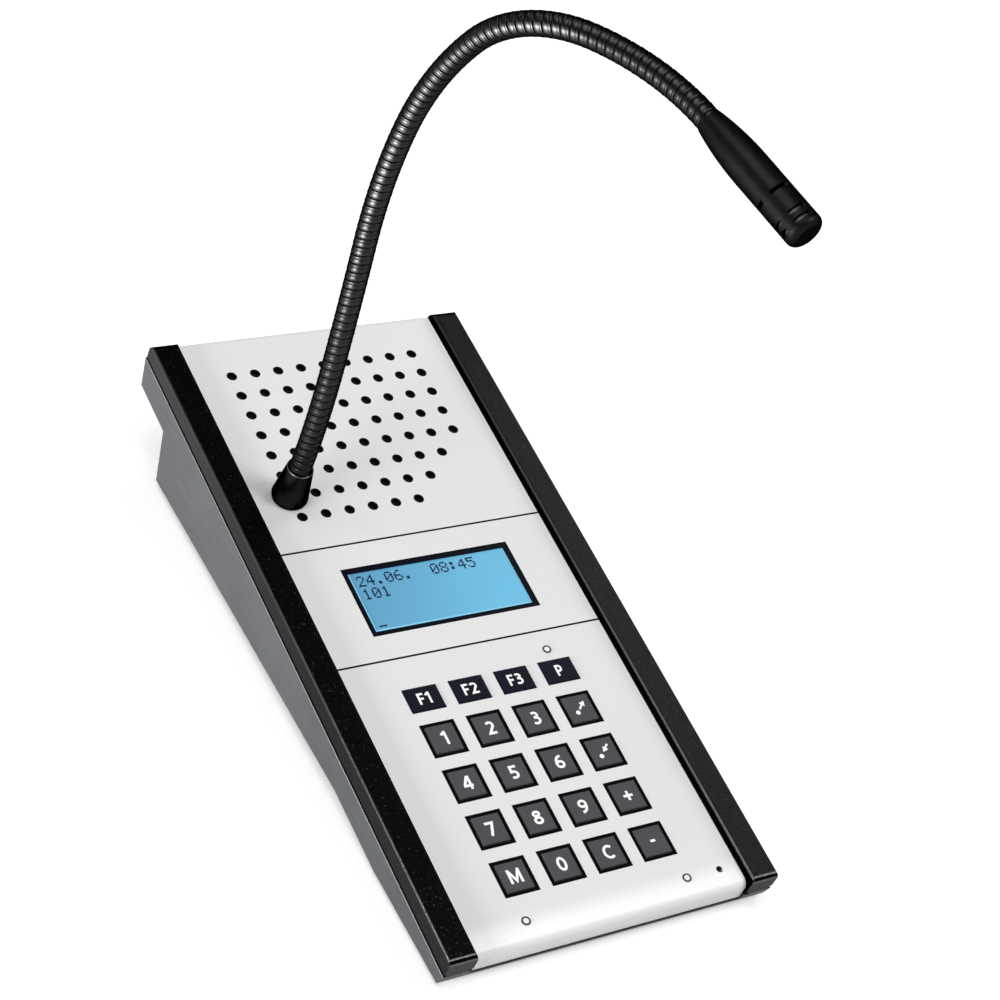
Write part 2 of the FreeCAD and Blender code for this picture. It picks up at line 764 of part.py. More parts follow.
# Indicator lamps: a black ring in the plate with a pale lens in it
for x, y in lamp_places:
    bush = post(x, y, 0, lamp_ring_rise, lamp_ring_radius)
    bush = bush.fuse(post(x, y, -plate_thick - lamp_ring_tail, 0, lamp_ring_stem))
    bush = bush.removeSplitter().cut(drill(x, y, -plate_thick - lamp_ring_tail, lamp_ring_rise,
                                           lamp_radius + lamp_fit))
    keep("lamp_rings", bush)
    lens = post(x, y, lamp_rise - lamp_length, lamp_rise, lamp_radius)
    keep("indicator_lamps", lens.makeFillet(lamp_edge, top_edges(lens, lamp_rise)))

# Small microphone behind its hole in the plate
keep("talk_microphone", post(hearing_hole[0], hearing_hole[1], -plate_thick - capsule_height,
                             -plate_thick, capsule_radius))

# Display: bezel in the window, with glass, backlight and board behind it
view_x = window_x - 2 * window_border
view_y = window_y - 2 * window_border
glass_x = view_x + 2 * glass_margin
glass_y = view_y + 2 * glass_margin
bezel_bottom = -plate_thick - bezel_flange_thick
bezel = slab(0, display_y, window_x - 2 * bezel_gap, window_y - 2 * bezel_gap, -plate_thick,
             -bezel_drop)
flange = slab(0, display_y, window_x + 2 * bezel_flange, window_y + 2 * bezel_flange,
              bezel_bottom, -plate_thick)
bezel = bezel.fuse(flange).removeSplitter()
bezel = bezel.cut(window(0, display_y, view_x, view_y, bezel_bottom, 0))
bezel = bezel.cut(slab(0, display_y, glass_x + 2 * glass_fit, glass_y + 2 * glass_fit,
                       bezel_bottom - past, glass_top))
display_board = slab(0, display_y, display_board_x, display_board_y, display_board_bottom,
                     display_board_top)
for x, y in display_studs:
    bezel = bezel.cut(drill(x, y, bezel_bottom, 0, stud_radius + collar_clearance))
    display_board = display_board.cut(drill(x, y, display_board_bottom, display_board_top,
                                            small_shank + shank_fit))
    keep("small_screws", small_screw(x, y, display_board_bottom))
keep("display_bezel", bezel)
keep("display_glass", slab(0, display_y, glass_x, glass_y, backlight_top, glass_top))
keep("display_backlight", slab(0, display_y, glass_x, glass_y, display_board_top, backlight_top))
keep("display_board", display_board)

# Speaker: a dust cloth and below it the basket, whose ears hang on the studs
cloth_bottom = -plate_thick - cloth_thick
cloth = slab(0, hole_centre_y, 2 * (hole_field_x + cloth_margin),
             2 * (hole_field_y + cloth_margin), cloth_bottom, -plate_thick)
cloth = cloth.cut(drill(neck_x, neck_y, cloth_bottom, 0, neck_nut_corner + neck_nut_gap))
ring_bottom = cloth_bottom - speaker_ring_thick
ring_inner = speaker_radius - speaker_ring
basket_bottom = ring_bottom - basket_depth
basket_floor = basket_bottom + basket_wall
basket_mouth = ring_inner + basket_wall
rim = post(0, hole_centre_y, ring_bottom, cloth_bottom, speaker_radius)
rim = rim.cut(drill(0, hole_centre_y, ring_bottom, cloth_bottom, ring_inner))
shell = turned([(basket_mouth, ring_bottom), (basket_foot, basket_bottom), (0, basket_bottom),
                (0, basket_floor), (basket_foot - basket_wall / 2, basket_floor),
                (ring_inner, ring_bottom)])
for i in range(basket_windows):
    sector = Part.makeCylinder(basket_mouth - basket_window_outer, basket_depth + 2 * past,
                               Vec(0, 0, basket_bottom - past), Vec(0, 0, 1), basket_window_angle)
    sector = sector.cut(drill(0, 0, basket_bottom - past, ring_bottom + past,
                              basket_foot + basket_window_inner))
    sector.rotate(Vec(0, 0, 0), Vec(0, 0, 1), basket_window_turn + i * 360 / basket_windows)
    shell = shell.cut(sector)
shell.translate(Vec(0, hole_centre_y, 0))
ears = []
for x, y in ear_places:
    reach = math.hypot(x, y - hole_centre_y)
    arm = box(0, reach, -ear_radius, ear_radius, ring_bottom, cloth_bottom)
    ear = arm.fuse(post(reach, 0, ring_bottom, cloth_bottom, ear_radius))
    ear = ear.cut(drill(0, 0, ring_bottom, cloth_bottom, (ring_inner + speaker_radius) / 2))
    ear.rotate(Vec(0, 0, 0), Vec(0, 0, 1), math.degrees(math.atan2(y - hole_centre_y, x)))
    ear.translate(Vec(0, hole_centre_y, 0))
    ears.append(ear)
basket = rim.fuse(ears + [shell]).removeSplitter()
for x, y in ear_places:
    cloth = cloth.cut(drill(x, y, cloth_bottom, 0, speaker_stud_radius + shank_fit))
    basket = basket.cut(drill(x, y, ring_bottom, cloth_bottom, speaker_stud_radius + shank_fit))
    keep("speaker_nuts", hex_nut(x, y, ring_bottom - nut_height, ring_bottom, nut_flats,
                                 speaker_stud_radius + thread_fit))
keep("speaker_cloth", cloth)
keep("speaker_basket", basket)
keep("speaker_magnet", post(0, hole_centre_y, basket_bottom - magnet_height, basket_bottom,
                            magnet_radius))

# Speaker cone, hung in the basket, with its cap and the coil below it
cone_top = cloth_bottom - cone_drop
cone_rest = cone_top - cone_depth
cone_rim = ring_inner - cone_fit
cone_mouth = ring_inner - cone_surround
cap_edge = cone_rest + cap_rise
coil_inner = cone_throat - coil_wall / 2
coil_outer = cone_throat + coil_wall / 2
cone = turned([(cone_rim, cone_top), (cone_mouth, cone_top), (cone_throat, cone_rest),
               (cap_radius, cap_edge), (0, cap_edge + cap_crown),
               (0, cap_edge + cap_crown - cone_wall), (cap_radius, cap_edge - cone_wall),
               (coil_inner, cone_rest - cone_wall), (coil_inner, basket_floor),
               (coil_outer, basket_floor), (coil_outer, cone_rest - cone_wall),
               (cone_mouth, cone_top - cone_wall), (cone_rim, cone_top - cone_wall)])
cone.translate(Vec(0, hole_centre_y, 0))
keep("speaker_cone", cone)

# Gooseneck: a ferrule with a nut under the plate holds the first stretch.
stem_bottom = -plate_thick - stem_length
ferrule = turned([(ferrule_base, 0), (ferrule_base, ferrule_rim), (ferrule_top, ferrule_height),
                  (neck_radius + neck_fit, ferrule_height), (neck_radius + neck_fit, ferrule_floor),
                  (neck_bore, ferrule_floor), (neck_bore, stem_bottom),
                  (ferrule_stem, stem_bottom), (ferrule_stem, 0)])
ferrule.translate(Vec(neck_x, neck_y, 0))
keep("neck_ferrule", ferrule)
keep("neck_nut", hex_nut(neck_x, neck_y, -plate_thick - neck_nut_height, -plate_thick,
                         neck_nut_flats, ferrule_stem + thread_fit))


class Frame:
    """A place on the gooseneck: its point, its run and its forward side."""

    def __init__(self, point, run, forward):
        self.point = point
        self.run = run
        self.forward = forward

    def side(self):
        return self.run.cross(self.forward)

    def placement(self):
        turn = FreeCAD.Rotation(self.forward, self.side(), self.run, "ZXY")
        return FreeCAD.Placement(self.point, turn)

    def ahead(self, length):
        return Frame(self.point + self.run * length, self.run, self.forward)


class Arc:
    """One stretch of the gooseneck, bent by two angles at once."""

    def __init__(self, start, length, forward_bend, side_bend):
        self.start = start
        self.length = length
        self.angle = math.radians(math.hypot(forward_bend, side_bend))
        lean_to = start.forward * forward_bend + start.side() * side_bend
        self.inward = lean_to.normalize()
        self.axis = start.run.cross(self.inward).normalize()
        self.radius = length / self.angle
        self.centre = start.point + self.inward * self.radius

    def at(self, distance):
        spin = FreeCAD.Rotation(self.axis, math.degrees(distance / self.radius))
        point = self.centre + spin.multVec(self.start.point - self.centre)
        return Frame(point, spin.multVec(self.start.run), spin.multVec(self.start.forward))

    def rod(self, first, last, radius):
        """A round rod along the arc between two distances."""
        frame = self.at(first)
        disc = Part.Face(Part.Wire(Part.Circle(frame.point, frame.run, radius).toShape()))
        return disc.revolve(self.centre, self.axis, math.degrees((last - first) / self.radius))


def circle_at(frame, radius):
    """A circle across the gooseneck, turned like the frame it stands on."""
    wire = Part.Wire(Part.Circle(Vec(0, 0, 0), Vec(0, 0, 1), radius).toShape())
    wire.Placement = frame.placement()
    return wire


def ribbed(arc, first, last, count):
    """The ribbed outside of a stretch: four circles make each rib."""
    pitch = (last - first) / count
    shoulder = neck_radius - rib_shoulder
    rib = [(0, neck_root), (rib_shoulder_share, shoulder), (0.5, neck_radius),
           (1 - rib_shoulder_share, shoulder)]
    circles = [circle_at(arc.at(first + (i + share) * pitch), radius)
               for i in range(count) for share, radius in rib]
    circles.append(circle_at(arc.at(last), neck_root))
    return Part.makeLoft(circles, True, True)


heading = math.radians(neck_heading_angle)
place = Frame(Vec(neck_x, neck_y, ferrule_height), Vec(0, 0, 1),
              Vec(math.cos(heading), math.sin(heading), 0))
arcs = []
for forward_bend, side_bend in zip(forward_angles, side_angles):
    arcs.append(Arc(place, stretch_length, forward_bend, side_bend))
    place = arcs[-1].at(stretch_length)
head_frame = place

for index, arc in enumerate(arcs):
    first = 0 if index == 0 else stretch_gap / 2
    last = stretch_length if index == len(arcs) - 1 else stretch_length - stretch_gap / 2
    stretch = ribbed(arc, first, last, ribs_per_stretch)
    if index == 0:
        stretch = stretch.fuse(post(neck_x, neck_y, ferrule_floor, ferrule_height, neck_root))
        stretch = stretch.cut(post(neck_x, neck_y, ferrule_floor - past, ferrule_height, neck_bore))
    if index == len(arcs) - 1:
        end = head_frame.point
        stretch = stretch.fuse(Part.makeCylinder(neck_root, head_socket, end, head_frame.run))
        stretch = stretch.cut(Part.makeCylinder(neck_bore, head_socket + past, end, head_frame.run))
    stretch = stretch.cut(arc.rod(first - past / 2, last + past / 2, neck_bore))
    keep("neck_stretch_%d" % (index + 1), stretch)

# The core inside the gooseneck: straight ends and one arc for each stretch
core_start = Vec(neck_x, neck_y, stem_bottom - core_tail)
core_end = head_frame.ahead(head_socket + core_lead).point
path = [Part.LineSegment(core_start, arcs[0].start.point).toShape()]
for arc in arcs:
    middle = arc.at(arc.length / 2).point
    path.append(Part.Arc(arc.start.point, middle, arc.at(arc.length).point).toShape())
path.append(Part.LineSegment(head_frame.point, core_end).toShape())
core_path = Part.Wire(path)
core_section = Part.Wire(Part.Circle(core_start, Vec(0, 0, 1), core_radius).toShape())
core = core_path.makePipeShell([core_section], True, False)
core_ratio = core.Volume / (math.pi * core_radius ** 2 * core_path.Length)
print("gooseneck length", round(core_path.Length, 1), "volume ratio", round(core_ratio, 4))
print("bend radii", [round(arc.radius, 1) for arc in arcs])
keep("neck_core", core)

# Microphone head: a tapered body, a slotted cage and the capsule inside.
# It is drawn standing on Z and then set on the end of the gooseneck.
cavity = head_radius - head_wall
body_bore = cavity - head_wall
flare = head_radius - head_neck
taper_radius = (flare ** 2 + head_taper ** 2) / (2 * flare)
taper_middle = math.sqrt(taper_radius ** 2 - (head_taper / 2) ** 2)
taper = Part.Arc(Vec(head_neck, 0, 0),
                 Vec(head_radius - taper_radius + taper_middle, 0, head_taper / 2),
                 Vec(head_radius, 0, head_taper))
funnel_bottom = head_socket + head_floor
inside = [(head_radius, head_taper), (head_radius, head_seam), (cavity - spigot_fit, head_seam),
          (cavity - spigot_fit, head_seam + spigot_length), (body_bore, head_seam + spigot_length),
          (body_bore, funnel_bottom + head_funnel), (neck_bore, funnel_bottom),
          (neck_bore, head_socket), (neck_root + neck_fit, head_socket),
          (neck_root + neck_fit, 0), (head_neck, 0)]
body_rim = Part.makePolygon([Vec(radius, 0, z) for radius, z in inside])
body_face = Part.Face(Part.Wire([taper.toShape()] + body_rim.Edges))
mic_body = body_face.revolve(Vec(0, 0, 0), Vec(0, 0, 1), 360)
cage = post(0, 0, head_seam, head_length, head_radius)
cage = cage.makeFillet(head_rim, top_edges(cage, head_length))
capsule_top = head_length - head_cap_thick
cage = cage.cut(post(0, 0, head_seam - past, capsule_top, cavity))
for height in slot_rows:
    for i in range(slots_per_row):
        slot = Part.makeCylinder(head_radius + past, slot_height, Vec(0, 0, height),
                                 Vec(0, 0, 1), slot_angle)
        slot = slot.cut(drill(0, 0, height, height + slot_height, head_radius - slot_depth))
        slot.rotate(Vec(0, 0, 0), Vec(0, 0, 1), slot_turn_angle + i * 360 / slots_per_row)
        cage = cage.cut(slot)
mic_capsule = post(0, 0, capsule_top - head_capsule_length, capsule_top, cavity - capsule_fit)
for name, solid in (("mic_body", mic_body), ("mic_cage", cage), ("mic_capsule", mic_capsule)):
    solid.Placement = head_frame.placement().multiply(solid.Placement)
    keep(name, solid)

# The station stands on its feet with the middle of its length over the
# origin. The rounded front of the rails is its foremost place and the rear
# bend of the speaker plate its rearmost.
tilt_sine = math.sin(math.radians(desk_tilt))
tilt_cosine = math.cos(math.radians(desk_tilt))
front_round_y = rail_front_round - rail_nose
front_round_z = rail_rise - rail_front_round
rear_bend_y = panel_length - rear_lip_radius * (lean + 1 / cosine)
foremost = front_round_y * tilt_cosine - front_round_z * tilt_sine - rail_front_round
rearmost = rear_bend_y * tilt_cosine + rear_lip_radius * (1 + tilt_sine)
station_middle = (foremost + rearmost) / 2
seat_z = foot_height + front_depth * tilt_cosine


def seated(shape):
    """Tilts a finished piece onto the desk."""
    tilt = FreeCAD.Rotation(Vec(1, 0, 0), desk_tilt)
    seat = FreeCAD.Placement(Vec(0, -station_middle, seat_z), tilt)
    moved = shape.copy()
    moved.Placement = seat.multiply(moved.Placement)
    return moved


# Feet stand upright on the desk, so they are drawn there.
desk_tub = seated(tall_tub)
for side in (-1, 1):
    for y in (front_foot_y, rear_foot_y):
        leg = post(side * foot_x, y * tilt_cosine - station_middle, 0, seat_z, foot_radius)
        keep("feet", min(leg.cut(desk_tub).Solids, key=lambda solid: solid.BoundBox.ZMin))

os.makedirs("parts", exist_ok=True)
for name, solids in nodes.items():
    if name != "feet":
        solids = [seated(solid) for solid in solids]
    shape = solids[0] if len(solids) == 1 else Part.makeCompound(solids)
    shape.exportStep("parts/%s.step" % name)
print(len(nodes), "nodes")
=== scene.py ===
import math

import bmesh
import bpy
from mathutils import Matrix, Vector


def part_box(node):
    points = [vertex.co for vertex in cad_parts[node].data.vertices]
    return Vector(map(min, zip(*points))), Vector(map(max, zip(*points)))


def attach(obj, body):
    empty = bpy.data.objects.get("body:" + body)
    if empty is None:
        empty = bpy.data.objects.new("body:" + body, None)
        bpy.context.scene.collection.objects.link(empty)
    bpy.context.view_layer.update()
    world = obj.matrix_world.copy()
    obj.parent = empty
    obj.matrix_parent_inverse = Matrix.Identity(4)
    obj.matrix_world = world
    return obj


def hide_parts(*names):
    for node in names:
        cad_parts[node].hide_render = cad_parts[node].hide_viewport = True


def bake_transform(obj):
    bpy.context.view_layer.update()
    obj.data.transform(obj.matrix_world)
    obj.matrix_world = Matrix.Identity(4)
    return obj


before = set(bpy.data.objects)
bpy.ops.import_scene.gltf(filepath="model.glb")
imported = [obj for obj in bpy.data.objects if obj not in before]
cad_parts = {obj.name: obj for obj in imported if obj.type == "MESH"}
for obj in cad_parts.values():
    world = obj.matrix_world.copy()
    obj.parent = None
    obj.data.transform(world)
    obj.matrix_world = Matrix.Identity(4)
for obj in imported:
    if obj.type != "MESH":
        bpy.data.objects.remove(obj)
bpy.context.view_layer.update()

# Housing and its service cover: slate grey mouldings with a fine eroded grain,
# the cover held by four small screws. The panel is the frame of the plates,
# tilted on the desk: X to the right, Y up the slope, Z out of the plates.
tilt = math.radians(7.0)
plates_start = (0.0, -0.12773876, 0.01202472)
panel = Matrix.Translation(plates_start) @ Matrix.Rotation(tilt, 4, "X")


class Signal:
    """A shader socket. Each arithmetic sign on it adds a Math node."""

    def __init__(self, tree, socket=None):
        self.tree = tree
        self.socket = socket

    def node(self, kind, sockets, output=0, **settings):
        """Any other node: first its settings, then its sockets' values or links."""
        made = self.tree.nodes.new(kind)
        for name, value in settings.items():
            setattr(made, name, value)
        for name, value in sockets.items():
            if isinstance(value, Signal):
                self.tree.links.new(value.socket, made.inputs[name])
            else:
                made.inputs[name].default_value = value
        return Signal(self.tree, made.outputs[output])

    def maths(self, operation, first, second=0.0):
        return self.node("ShaderNodeMath", {0: first, 1: second}, operation=operation)

    def __add__(self, other):
        return self.maths("ADD", self, other)

    def __radd__(self, other):
        return self.maths("ADD", other, self)

    def __sub__(self, other):
        return self.maths("SUBTRACT", self, other)

    def __rsub__(self, other):
        return self.maths("SUBTRACT", other, self)

    def __mul__(self, other):
        return self.maths("MULTIPLY", self, other)

    def __gt__(self, other):
        return self.maths("GREATER_THAN", self, other)

    def larger(self, other):
        return self.maths("MAXIMUM", self, other)

    def size(self):
        return self.maths("ABSOLUTE", self)

    def wave(self):
        return self.maths("SINE", self)

    def over(self, low, high):
        """Runs from 0 at low to 1 at high, and stays there outside."""
        return self.node("ShaderNodeMapRange", {0: self, 1: low, 2: high, 3: 0.0, 4: 1.0},
                         interpolation_type="SMOOTHSTEP")

    def below(self, low, high):
        """Runs from 1 at low to 0 at high, and stays there outside."""
        return 1.0 - self.over(low, high)

    def band(self, rise, full, fade, end):
        """Runs from 0 at rise to 1 at full, then from 1 at fade to 0 at end."""
        return self.over(rise, full) * self.below(fade, end)

    def mix(self, low, high):
        """A colour that goes from low, where this signal is 0, to high at 1."""
        return self.node("ShaderNodeMix", {0: self, 6: low, 7: high}, output=2,
                         data_type="RGBA")

    def part(self, index):
        """One of the three numbers of a vector."""
        return self.node("ShaderNodeSeparateXYZ", {0: self}, output=index)

    def stretch(self, factors):
        return self.node("ShaderNodeVectorMath", {0: self, 1: factors}, operation="MULTIPLY")

    def noise(self, scale, detail=3.0, roughness=0.55):
        return self.node("ShaderNodeTexNoise", {"Vector": self, "Scale": scale, "Detail": detail,
                                                "Roughness": roughness})


class Finish:
    """The material of one kind of piece. Its slot is kept but not used."""

    def __init__(self, name, slot=None):
        self.slot = slot
        self.material = bpy.data.materials.new(name)
        self.material.use_nodes = True
        self.tree = self.material.node_tree
        self.shader = self.tree.nodes["Principled BSDF"]
        start = Signal(self.tree)
        self.place = start.node("ShaderNodeTexCoord", {}, output=3)
        self.facing = start.node("ShaderNodeNewGeometry", {}, output=3)

    def slope(self, axis):
        """The place along an axis of the plates, which rise to the rear, in metres."""
        row = panel.inverted()[axis]
        return self.place.part(1) * row[1] + self.place.part(2) * row[2] + row[3]

    def set(self, **values):
        for name, value in values.items():
            socket = self.shader.inputs[name.replace("_", " ")]
            if isinstance(value, Signal):
                self.tree.links.new(value.socket, socket)
            else:
                socket.default_value = value
        return self

    def bump(self, height, distance):
        """Raises the surface by a height signal, over a distance in metres."""
        return self.set(Normal=height.node("ShaderNodeBump", {
            "Height": height, "Distance": distance, "Strength": 1.0}))

    def on(self, *names):
        """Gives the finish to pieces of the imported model."""
        for name in names:
            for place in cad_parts[name].material_slots:
                place.material = self.material
        return self


def grey(level, blue=0.0):
    return (level * (1 - blue), level, level * (1 + blue), 1.0)


def tinted(red, green, blue):
    """The colour whose screen values are these, from 0 to 255."""
    return tuple((v / 255 / 12.92 if v < 11 else ((v / 255 + 0.055) / 1.055) ** 2.4)
                 for v in (red, green, blue)) + (1.0,)


squarely = (0.5, 0.8)
painted_light_to_rear = (0.0, 0.24)
chin_rear = (0.012, 0.014)
chin_sides = (-0.046, -0.044, 0.0612, 0.0616)
highlight_rim_foot = (-0.0053, -0.0049)
housing = Finish("slate_plastic")
cloud = housing.place.noise(38.0, detail=2.0)
drawn = housing.place.stretch((1.0, 0.06, 1.0)).noise(900.0, detail=2.0)
grain = housing.place.noise(2600.0, detail=2.0, roughness=0.7)
mottle = cloud.over(0.3, 0.7) * 0.5 + drawn.over(0.35, 0.65) * 0.3 + grain * 0.2
# Painted light: the sides are painted darker at the front and paler towards the rear.
slate = housing.slope(1).over(*painted_light_to_rear).mix(
    mottle.mix(tinted(60, 62, 66), tinted(74, 76, 80)),
    mottle.mix(tinted(80, 82, 86), tinted(98, 100, 104)))
# Painted shade: faces turned up, faces turned forward, and the chin under the front lip are
# painted near black, for the shade in the gap under the rails and under the lip.
up = housing.facing.part(2).over(*squarely)
painted_shade_front = (housing.facing.part(1) * -1.0).over(*squarely)
painted_shade_chin = housing.slope(1).below(*chin_rear) * housing.place.part(0).band(*chin_sides)
# Painted highlight: a pale line along the top edge of the sides, just under the rails.
rim_highlight = housing.slope(2).over(*highlight_rim_foot) * housing.facing.part(0).size().over(*squarely)
slate = rim_highlight.mix(slate, tinted(150, 152, 156))
slate = up.larger(painted_shade_front).larger(painted_shade_chin).mix(slate, tinted(30, 32, 35))
housing.set(Base_Color=slate, Roughness=0.42 + cloud * 0.14, Specular_IOR_Level=0.3)
housing.bump(grain * 0.7 + drawn * 0.3, 0.00006)
housing.on("housing")

cover = Finish("cover_plastic")
grain = cover.place.noise(2200.0, detail=2.0, roughness=0.7)
cover.set(Base_Color=grain.over(0.3, 0.7).mix(tinted(96, 99, 103), tinted(112, 116, 120)),
          Roughness=0.5 + grain * 0.1)
cover.bump(grain, 0.00006)
cover.on("base_cover")

# Feet: four rubber buttons pressed into the underside. They pick up dust
# where they meet the desk.
dust_height = 0.0012
rubber = Finish("foot_rubber_black")
dust = rubber.place.noise(500.0, detail=3.0)
near_desk = rubber.place.part(2).below(0.0, dust_height)
rubber.set(Base_Color=(dust * near_desk * 0.8).mix(grey(0.02), grey(0.12)),
           Roughness=0.78 + dust * 0.15)
rubber.bump(dust, 0.00008)
rubber.on("feet")

# Rails: black powder-coated side bars with a fine, slightly speckled grain.
# Each is held from below by two long screws through the housing.
painted_light_left_to_right = (-0.03, 0.03)
front_to_rear = (0.08, 0.25)
skirt_edge = (-0.0038, -0.0033)
rail = Finish("rail_powder_coat")
grain = rail.place.noise(1500.0, detail=3.0, roughness=0.7)
specks = rail.place.noise(1150.0, detail=1.0, roughness=0.4).over(0.66, 0.74)
worn = rail.place.noise(60.0, detail=3.0)
beside = rail.place.part(0) * rail.facing.part(0)
leftward = rail.facing.part(0) * -1.0
forward = rail.facing.part(1) * -1.0
painted_light_rearward = rail.slope(1).over(*front_to_rear)
painted_shade_inward = (beside * -1.0).over(0.04, 0.05)
painted_reflection_outward = beside.over(0.03, 0.05)
painted_shade_under = rail.slope(2).below(*skirt_edge) * forward.below(*squarely)
outline = leftward.band(0.1, 0.14, 0.28, 0.4)
painted_edge_highlight = leftward.band(0.3, 0.45, 0.8, 0.92)
painted_bend_highlight = forward.band(0.25, 0.4, 0.5, 0.6)
painted_bend_dark_band = forward.band(0.55, 0.65, 0.88, 0.95)
painted_front_reflection = forward.over(0.88, 0.95)
# Painted light: the right rail is painted lighter than the left, as a lit copy of the same coat.
coat = rail.place.part(0).over(*painted_light_left_to_right).mix(grain.mix(grey(0.005), grey(0.011)),
                                                   grain.mix(grey(0.016), grey(0.036)))
coat = specks.mix(coat, grey(0.05))
# Painted reflection: the outer sides are painted lighter, more so towards the rear.
coat = painted_reflection_outward.mix(coat, painted_light_rearward.mix(grey(0.055), grey(0.11)))
# Painted highlight along the rounded edges that face left, lighter at the front, and beside it a
# painted dark line (outline) for the dark reflection there.
coat = painted_edge_highlight.mix(coat, painted_light_rearward.mix(grey(0.11), grey(0.045)))
coat = outline.mix(coat, grey(0.002))
# Painted highlight, painted dark band and painted reflection on the rounded front ends of the
# rails.
coat = painted_bend_highlight.mix(coat, grey(0.085))
coat = painted_front_reflection.mix(coat, grey(0.11))
coat = painted_bend_dark_band.mix(coat, grey(0.004))
# Painted shade: the inner walls and the stepped-in skirt under the outer sides are painted near
# black.
coat = painted_shade_inward.larger(painted_shade_under).mix(coat, grey(0.003))
rail.set(Base_Color=coat, Metallic=1.0, Specular_Tint=grey(0.3), Roughness=0.26 + worn * 0.1)
rail.bump(grain, 0.00012)
rail.on("rail_left", "rail_right")

# Plates: three pressed sheets in light grey satin paint. Each lies on the
# ledges of the rails and is screwed to them from below.
between_lips = (-0.121, -0.119, 0.122, 0.124)
highlight_beside_rails = (0.0504, 0.0512)
highlight_front_bend = (0.003, 0.012)
seams = (0.1106, 0.1596)
seam_reach = (0.00033, 0.00041)
plate = Finish("plate_paint")
peel = plate.place.noise(700.0, detail=2.0)
cloud = plate.place.noise(22.0, detail=2.0)
cut_edge = plate.facing.part(2).over(0.45, 0.55)
inside = plate.place.part(1).band(*between_lips)
first_seam_shade, second_seam_shade = ((plate.slope(1) - seam).size().below(*seam_reach) for seam in seams)
paint = (cloud * 0.6 + peel * 0.4).mix(grey(0.70), grey(0.765))
# Painted highlight: a pale line along the plate edges beside the rails.
paint = plate.place.part(0).size().over(*highlight_beside_rails).mix(paint, grey(0.97))
# Painted highlight along the front bend of the plates.
paint = plate.slope(1).over(*highlight_front_bend).mix(grey(0.94), paint)
# Painted shade: the plates' tops are painted near black next to the two seams.
paint = first_seam_shade.larger(second_seam_shade).mix(paint, grey(0.02))
# Painted shade: the walls of the holes, cut-outs and seams, and the plate edges beside the rails,
# are painted near black.
paint = ((1.0 - cut_edge) * inside).mix(paint, grey(0.012))
plate.set(Base_Color=paint, Roughness=0.36 + cloud * 0.08, Specular_IOR_Level=0.4)
plate.bump(peel, 0.00003)
plate.on("keypad_panel", "display_panel", "speaker_panel")

# Speaker: black dust cloth glued under the holes, a pressed steel basket
# hung on four studs, a paper cone and a ferrite magnet.
threads = 9000.0
cloth = Finish("dust_cloth")
weave = (cloth.place.part(0) * threads).wave() * (cloth.place.part(1) * threads).wave()
cloth.set(Base_Color=weave.over(-1.0, 1.0).mix(grey(0.004), grey(0.016)), Roughness=0.92,
          Specular_IOR_Level=0.15)
cloth.bump(weave, 0.0001)
cloth.on("speaker_cloth")

basket = Finish("basket_paint")
peel = basket.place.noise(600.0)
basket.set(Base_Color=peel.mix(grey(0.012), grey(0.02)), Roughness=0.35 + peel * 0.1)
basket.bump(peel, 0.00004)
basket.on("speaker_basket")

cone = Finish("cone_paper")
fibre = cone.place.noise(1800.0, detail=4.0)
cone.set(Base_Color=fibre.mix(grey(0.008), grey(0.022)), Roughness=0.9)
cone.bump(fibre, 0.0002)
cone.on("speaker_cone")

magnet = Finish("ferrite")
sinter = magnet.place.noise(900.0, detail=4.0)
magnet.set(Base_Color=sinter.mix(grey(0.03), grey(0.06)), Roughness=0.6 + sinter * 0.2)
magnet.bump(sinter, 0.0001)
magnet.on("speaker_magnet")

# Screws and nuts: bright zinc on steel, drawn round by their turning. They
# hold the plates, the boards, the speaker, the cover and the rails.
steel = Finish("zinc_steel")
drawn = steel.place.noise(2400.0, detail=2.0)
steel.set(Base_Color=drawn.mix(grey(0.42), grey(0.58)), Metallic=1.0,
          Roughness=0.26 + drawn * 0.2)
steel.bump(drawn, 0.00002)
steel.on("small_screws", "housing_screws", "speaker_nuts")

nut = Finish("nut_zinc")
drawn = nut.place.noise(1600.0, detail=2.0)
nut.set(Base_Color=drawn.mix(grey(0.4), grey(0.56)), Metallic=1.0, Roughness=0.3 + drawn * 0.2)
nut.bump(drawn, 0.00002)
nut.on("neck_nut")

# Display: a blue backlit liquid crystal glass behind a navy black bezel. The
# light comes from the right edge, so the glass is paler there.
bezel = Finish("bezel_plastic")
peel = bezel.place.noise(900.0, detail=2.0)
bezel.set(Base_Color=peel.mix(tinted(4, 7, 18), tinted(8, 11, 25)), Roughness=0.3 + peel * 0.1,
          Specular_IOR_Level=0.06)
bezel.bump(peel, 0.00003)
bezel.on("display_bezel")

screen_half_x = 0.031
dim_across = (-0.0304, -0.0301, 0.0305, 0.0308)
bright_front = (0.1234, 0.1237)
lower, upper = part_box("display_glass")
screen = Finish("blue_screen")
sideways = screen.place.part(0)
across = sideways.over(-screen_half_x, screen_half_x)
along = screen.place.part(1).over(lower.y, upper.y)
cloud = screen.place.noise(60.0, detail=1.0)
level = across * 0.72 + (1.0 - along) * 0.14 + cloud * 0.12
edge_light = (1.0 - sideways.band(*dim_across)).larger(screen.slope(1).below(*bright_front))
lit = level.mix(tinted(84, 140, 172), tinted(100, 173, 205))
lit = edge_light.mix(lit, tinted(122, 186, 212))
screen.set(Base_Color=lit, Emission_Color=lit, Emission_Strength=0.3, Roughness=0.3,
           Specular_IOR_Level=0.2)
screen.on("display_glass")

backlight = Finish("light_guide")
frost = backlight.place.noise(800.0)
backlight.set(Base_Color=frost.mix(tinted(170, 205, 230), tinted(190, 220, 240)),
              Roughness=0.3 + frost * 0.2)
backlight.on("display_backlight")

